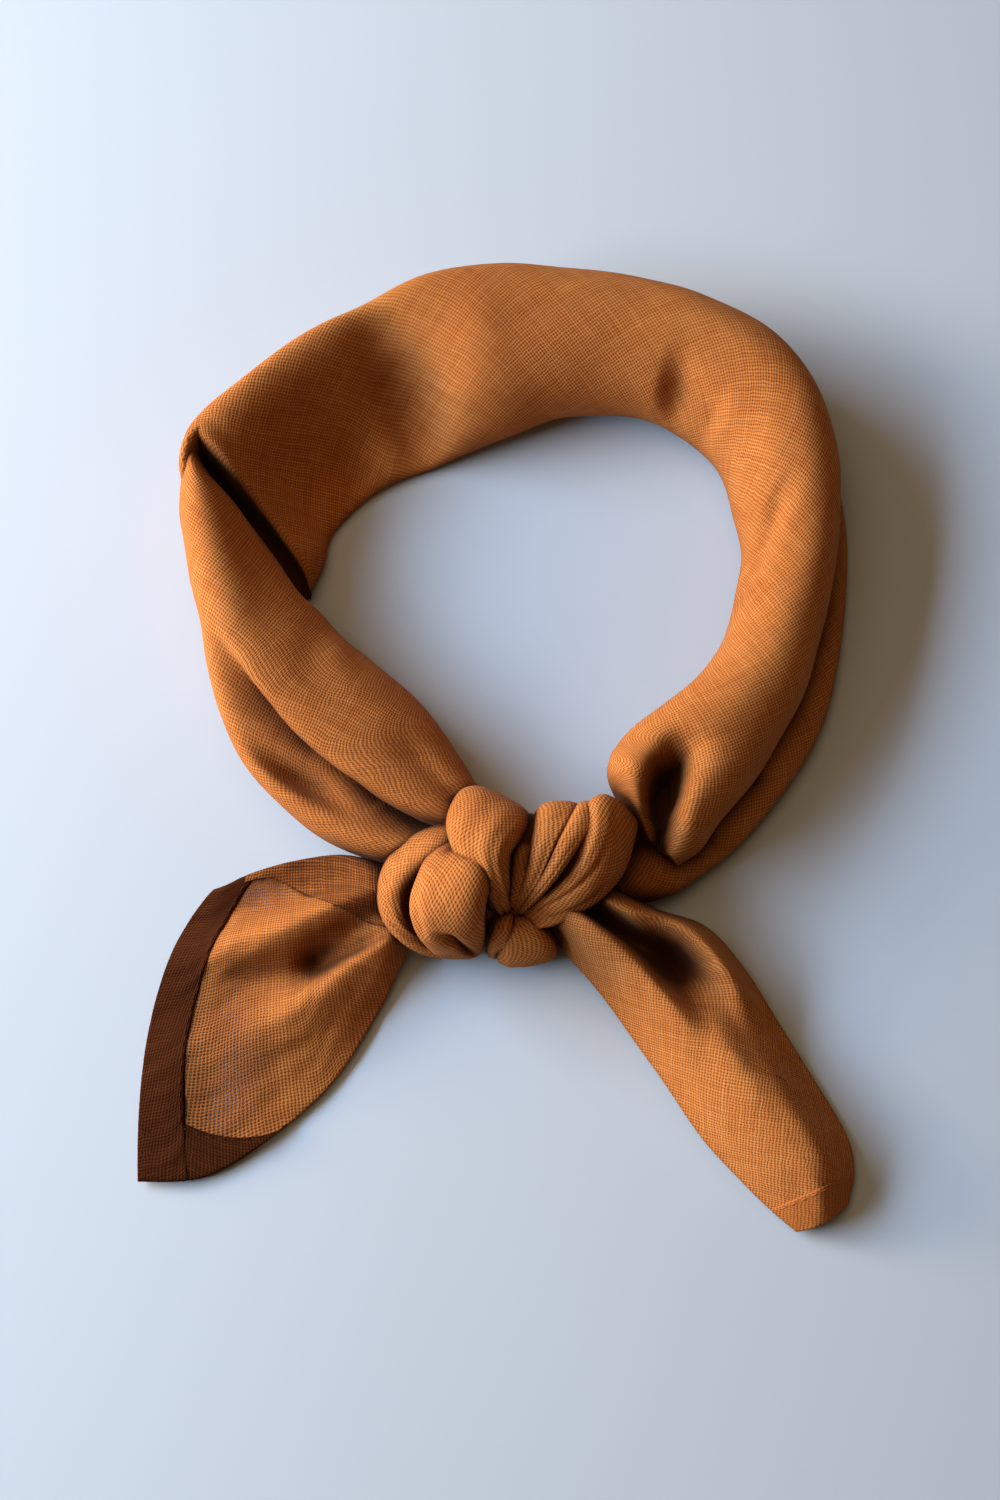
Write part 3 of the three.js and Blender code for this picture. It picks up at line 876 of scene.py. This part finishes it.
def gauze(name, base, deep, pale, holes_and_painted_shade=None, sheen=0.06, gloss=0.1):
    """Plain weave of loosely spun thread: over and under, painted shade between the threads, slubs
    and uneven dye. The last argument gives where one layer lets light through, as (middle, size,
    share) in metres; there the colour is also painted darker as shade."""
    cloth = Cloth(name)
    place = cloth.node("ShaderNodeUVMap", {"uv_map": "weave"}, {})[0]
    spot = cloth.node("ShaderNodeTexCoord", {}, {})[3]
    wander = cloth.noise(place, 0.09, 2.0) - 0.5
    wobble = cloth.noise(place, 0.31, 1.0) - 0.5
    x, y, _ = cloth.node("ShaderNodeSeparateXYZ", {}, {0: place})
    warp = x + wander * 1.6
    weft = y + wobble * 1.1
    across_warp = (warp * math.pi).sine()
    across_weft = (weft * math.pi).sine()
    round_warp = abs(across_warp)
    round_weft = abs(across_weft)
    over_warp = round_warp * (0.62 + 0.38 * across_weft * across_warp.sign())
    over_weft = round_weft * (0.62 - 0.38 * across_warp * across_weft.sign())
    height = over_warp.larger(over_weft)
    gap = ((1 - round_warp) * (1 - round_weft)) ** 0.8

    # Each thread has its own thickness and its own shade, which run along it as slubs do.
    along_warp = cloth.node("ShaderNodeCombineXYZ", {}, {0: warp.whole(), 1: y * 0.05})[0]
    along_weft = cloth.node("ShaderNodeCombineXYZ", {}, {0: weft.whole() + 91, 1: x * 0.05})[0]
    slub = (cloth.noise(along_warp, 0.9, 1.0) + cloth.noise(along_weft, 0.9, 1.0)) * 0.5
    dye = cloth.noise(spot, 22.0, 3.0)
    fluff = cloth.noise(spot, 900.0, 2.0)

    tone = (slub - 0.5) * 1.1 + (dye - 0.5) * 0.5 + (height - 0.6) * 0.9 + 0.55
    thread = cloth.node(
        "ShaderNodeValToRGB",
        {"stops": [(0.0, deep), (0.5, base), (1.0, pale)]},
        {0: tone},
    )[0]
    # Painted shade between the threads, where the gaps show shaded cloth beneath.
    weave_with_painted_shade = cloth.mixed(gap * 0.85, thread, darker(deep, 0.30))
    # Painted shade: the colour is darkened where the cloth lies in a hollow, where shade falls.
    painted_shade_openness = cloth.node("ShaderNodeAttribute", {"attribute_name": "open"}, {})[2]
    clear_of_painted_shade = ((painted_shade_openness - PAINTED_SHADE_BELOW) * PAINTED_SHADE_FADE_RATE).larger(0.0).smaller(1.0)
    weave_with_painted_shade = cloth.mixed(clear_of_painted_shade, darker(deep, 0.22), weave_with_painted_shade)
    relief = height * 0.8 + slub * 0.25 + fluff * 0.12 - gap * 0.5
    normal = cloth.node(
        "ShaderNodeBump", {}, {"Strength": 0.75, "Distance": THREAD_RELIEF, "Height": relief}
    )[0]
    inputs = {
        "Base Color": weave_with_painted_shade,
        "Roughness": 0.92 - fluff * 0.1,
        "Normal": normal,
        "Sheen Weight": sheen,
        "Sheen Roughness": 0.45,
        "Sheen Tint": (1.0, 0.62, 0.36, 1.0),
        "Specular IOR Level": gloss,
    }
    if holes_and_painted_shade:
        sheer_and_painted_shade = 0.0
        for middle, size, share in holes_and_painted_shade:
            near = cloth.node("ShaderNodeVectorMath", {"operation": "SUBTRACT"}, {0: spot, 1: middle})[0]
            near = cloth.node("ShaderNodeVectorMath", {"operation": "DIVIDE"}, {0: near, 1: size})[0]
            far = cloth.node("ShaderNodeVectorMath", {"operation": "LENGTH"}, {0: near})[0]
            sheer_and_painted_shade = ((1.6 - far * 1.2).smaller(1.0) * share).larger(sheer_and_painted_shade)
        inputs["Alpha"] = 1 - ((gap - 0.06) * 4.0).larger(0.0).smaller(1.0) * sheer_and_painted_shade
        # Painted shade: the one layer is coloured darker where it is seen through.
        inputs["Base Color"] = cloth.mixed(sheer_and_painted_shade * 0.55, weave_with_painted_shade, darker(deep, 0.6))
    surface = cloth.node("ShaderNodeBsdfPrincipled", {}, inputs)[0]
    cloth.node("ShaderNodeOutputMaterial", {}, {"Surface": surface})
    return cloth.material


# Half the floor's side
FLOOR_SIZE = 4.0


def plain_floor():
    surface = Cloth("pale_floor")
    spot = surface.node("ShaderNodeTexCoord", {}, {})[3]
    cloud = surface.noise(spot, 6.0, 3.0)
    colour = surface.mixed(cloud, (0.48, 0.48, 0.48, 1), (0.50, 0.50, 0.50, 1))
    shader = surface.node("ShaderNodeBsdfPrincipled", {}, {"Base Color": colour, "Roughness": 0.9})[0]
    surface.node("ShaderNodeOutputMaterial", {}, {"Surface": shader})
    mesh = bpy.data.meshes.new("floor")
    corners = [(FLOOR_SIZE * x, FLOOR_SIZE * y, 0) for x, y in ((-1, -1), (1, -1), (1, 1), (-1, 1))]
    mesh.from_pydata(corners, [], [(0, 1, 2, 3)])
    mesh.materials.append(surface.material)
    floor = bpy.data.objects.new("floor", mesh)
    bpy.context.collection.objects.link(floor)
    return floor


RUST = (0.45, 0.124, 0.023)
DEEP_RUST = (0.26, 0.056, 0.008)
PALE_RUST = (0.57, 0.208, 0.050)
TURNED = (0.45, 0.128, 0.024)
# Painted shade: the turned-over flap of the left end is coloured darker than the cloth.
TURNED_OVER_PAINTED_SHADE = (0.20, 0.050, 0.008)
# Painted shade: the left end's hem is coloured far darker than the rust cloth, for the shade on it.
HEM_PAINTED_SHADE = (0.050, 0.011, 0.0022)
DEEP_HEM_PAINTED_SHADE = (0.030, 0.006, 0.0012)
PALE_HEM_PAINTED_SHADE = (0.085, 0.020, 0.0045)

# The part of the left end that is one layer and stands clear of the surface, seen through; its
# colour is painted darker there as shade
SHEER_AND_PAINTED_SHADE = [
    ((-0.0800, -0.0915, 0.006), (0.0165, 0.0310, 0.05), 1.0),
    ((-0.0655, -0.0465, 0.010), (0.0080, 0.0045, 0.05), 0.45),
]


def rolled_band(material):
    lofts = [
        roll(LEFT_STRAND, STRAND_CREASES, STRAND_PRESSES, 190, 140, seed=11, tall=0.4),
        roll(FAR_STRETCH, STRETCH_CREASES, STRETCH_PRESSES, 340, 140, seed=12, tall=0.4, bow=4.0),
        roll(UNDER_LAYER, NO_CREASES, NO_PRESSES, 150, 64, seed=13, tall=0.3),
        fold(KINK_FOLD, NO_CREASES, 70, 64, seed=14, tall=0.3),
    ]
    band = cloth_object("rolled_band", lofts, material)
    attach(band, "root")
    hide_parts("neck_band")
    return band


def knot_folds(name, node, folds, material):
    lofts = [
        fold(rows, creases, 120, 110, seed=seed, pleat=pleat)
        for seed, (rows, creases, pleat) in enumerate(folds, start=len(name))
    ]
    knot = cloth_object(name, lofts, material)
    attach(knot, "root")
    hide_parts(node)
    return knot


def left_end(material, doubled):
    cloth = tail_sheet(LEFT_TAIL, LEFT_TAIL_PRESSES, 190, 170, GAUZE, seed=31, lift=LEFT_CLOTH_UP, tall=0.3)
    flap = tail_sheet(
        LEFT_TAIL, LEFT_TAIL_PRESSES, 150, 80, GAUZE, seed=31, tall=0.3, u_to=FLAP_ALONG,
        span=lambda u: (0.0, flap_edge(u)),
        lift=lambda u, v: FLAP_UP - 0.2 * v / flap_edge(u),
    )
    # The turned-over flap gets the second material, painted darker as shade.
    flap["doubled"] = True
    end = cloth_object("left_end", [cloth, flap], material, weave_turn=8, second=doubled)
    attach(end, "root")
    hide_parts("left_tail")
    return end


def flap_edge(u):
    """The edge of the cloth that is turned over the end slants from the knot to the upper side."""
    slant = FLAP_WIDE - FLAP_SLANT * u - FLAP_LEAST
    return FLAP_LEAST + np.log1p(np.exp(slant * FLAP_SOFT)) / FLAP_SOFT


# How fast the hem on the lower side narrows, and how far and how sharply the hem on the end
# reaches back along the upper side
HEM_NARROWS = 0.585
HEM_REACHES_BACK = 0.266
HEM_BEND = 2.95


def end_hem_edge(u):
    """The hem on the lower side narrows to nothing where the cloth turns under."""
    edge = LEFT_HEM_ACROSS + HEM_NARROWS * (LEFT_HEM_ALONG - u)
    return np.clip(edge, LEFT_HEM_ACROSS, 0.995)


def side_hem_start(v):
    """The hem on the end runs out along the upper side, where the end's rows lie close."""
    return LEFT_HEM_ALONG - HEM_REACHES_BACK * (1 - v) ** HEM_BEND


def left_end_hem(material):
    side = tail_sheet(
        LEFT_TAIL, LEFT_TAIL_PRESSES, 60, 170, HEM, seed=31, lift=SIDE_HEM_UP, tall=0.3,
        u_from=side_hem_start,
    )
    end = tail_sheet(
        LEFT_TAIL, LEFT_TAIL_PRESSES, 90, 30, HEM, seed=31, lift=END_HEM_UP, tall=0.3,
        u_from=0.61, u_to=0.99, span=lambda u: (end_hem_edge(u), 1.0),
    )
    # The seams lie a few points in from the edge of each hem.
    seams = stitches(side["points"][4, 6:150]) + stitches(end["points"][4:84, 3])
    hem = cloth_object("left_end_hem", [side, end] + seams, material, weave_turn=8)
    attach(hem, "root")
    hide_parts("left_tail_hem")
    return hem


def right_end(material):
    cloth = tail_sheet(
        RIGHT_TAIL, RIGHT_TAIL_PRESSES, 200, 150, GAUZE, seed=41, lift=RIGHT_CLOTH_UP, tall=0.25, u_to=0.985
    )
    end = cloth_object("right_end", [cloth, loose_thread(cloth)], material)
    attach(end, "root")
    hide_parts("right_tail")
    return end


LOOSE_THREAD = 0.3


def loose_thread(cloth):
    """A pulled thread that lies on the right end, slanting over some of its points."""
    rings = np.arange(112, 126)
    sides = np.arange(86, 114, 2)
    return thread(cloth["points"][rings, sides] + (0, 0, 0.35), LOOSE_THREAD)


def right_end_hem(material):
    cloth = tail_sheet(
        RIGHT_TAIL, RIGHT_TAIL_PRESSES, 40, 150, HEM, seed=41, lift=RIGHT_HEM_UP, tall=0.25,
        u_from=RIGHT_HEM_ALONG,
    )
    hem = cloth_object("right_end_hem", [cloth] + stitches(cloth["points"][4, 6:144]), material)
    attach(hem, "root")
    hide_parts("right_tail_hem")
    return hem


# The camera looks down at 75 degrees above the floor, from the knot's side.
AIM = (-0.0013, -0.0032, 0.0)
RISE = math.radians(75)
DISTANCE = 0.618


def aimed(obj, target):
    from mathutils import Vector
    obj.rotation_euler = (Vector(target) - obj.location).to_track_quat("-Z", "Y").to_euler()


def camera():
    data = bpy.data.cameras.new("camera")
    data.lens = 53
    data.sensor_width = 36
    data.clip_start = 0.01
    seen = bpy.data.objects.new("camera", data)
    seen.location = (AIM[0], AIM[1] - DISTANCE * math.cos(RISE), DISTANCE * math.sin(RISE))
    seen.rotation_euler = (math.pi / 2 - RISE, 0, 0)
    bpy.context.collection.objects.link(seen)
    bpy.context.scene.camera = seen


def lamp(name, place, size, power, colour, target=(0, 0, 0)):
    data = bpy.data.lights.new(name, "AREA")
    data.shape = "RECTANGLE"
    data.size = size[0]
    data.size_y = size[1]
    data.energy = power
    data.color = colour
    light = bpy.data.objects.new(name, data)
    light.location = place
    aimed(light, target)
    bpy.context.collection.objects.link(light)


def studio():
    """Soft light from the left, with a little from above and from the room all round."""
    lamp("wide_window", (-1.0, 0.17, 0.62), (1.3, 0.35), 45.0, (0.44, 0.62, 0.88))
    lamp("ceiling", (-0.35, 0.35, 1.3), (1.2, 1.2), 5.0, (1.0, 0.76, 0.50))
    lamp("low_window", (-1.0, 0.20, 0.25), (0.35, 0.3), 13.0, (1.0, 0.80, 0.48))
    world = bpy.data.worlds.new("room")
    world.use_nodes = True
    background = world.node_tree.nodes["Background"]
    background.inputs["Color"].default_value = (1.0, 0.72, 0.40, 1)
    background.inputs["Strength"].default_value = 0.09
    bpy.context.scene.world = world
    bpy.context.scene.view_settings.view_transform = "Standard"


camera()
studio()
plain_floor()

band_gauze = gauze("rust_gauze", RUST, DEEP_RUST, PALE_RUST)
end_gauze = gauze("rust_gauze_one_layer", RUST, DEEP_RUST, PALE_RUST, holes_and_painted_shade=SHEER_AND_PAINTED_SHADE)
# The left end's hem, painted dark as shade.
left_hem_painted_shade_gauze = gauze("doubled_gauze", HEM_PAINTED_SHADE, DEEP_HEM_PAINTED_SHADE, PALE_HEM_PAINTED_SHADE, sheen=0.0, gloss=0.04)
turned_gauze = gauze("turned_gauze", TURNED, DEEP_RUST, RUST)
# The turned-over flap, painted darker as shade.
flap_painted_shade_gauze = gauze("turned_over_painted_shade", TURNED_OVER_PAINTED_SHADE, PALE_HEM_PAINTED_SHADE, TURNED)

rolled_band(band_gauze)
knot_folds("knot_left_folds", "knot_left_wrap", [
    (UPPER_LEFT_FOLD, UPPER_LEFT_CREASES, 0.5),
    (LEFT_BULGE, LEFT_BULGE_CREASES, 0.0),
    (LEFT_RING, NO_CREASES, 0.3),
    (VALLEY_FOLD, NO_CREASES, 0.4),
    (KNOT_CORE, NO_CREASES, 0.0),
], band_gauze)
knot_folds("knot_right_folds", "knot_right_wrap", [
    (TOP_FOLD, NO_CREASES, 0.4),
    (MIDDLE_FOLD, NO_CREASES, 0.3),
    (RIGHT_FOLD, RIGHT_FOLD_CREASES, 0.5),
], band_gauze)
knot_folds("knot_lower_folds", "knot_lower_wrap", [
    (SMALL_LOWER_FOLD, NO_CREASES, 0.2),
    (LOWER_FOLD, NO_CREASES, 0.2),
], band_gauze)
left_end(end_gauze, flap_painted_shade_gauze)
left_end_hem(left_hem_painted_shade_gauze)
right_end(band_gauze)
right_end_hem(turned_gauze)

# The openness stored here darkens the colour in hollows: painted shade.
store_openness_for_painted_shade()

bpy.context.view_layer.update()
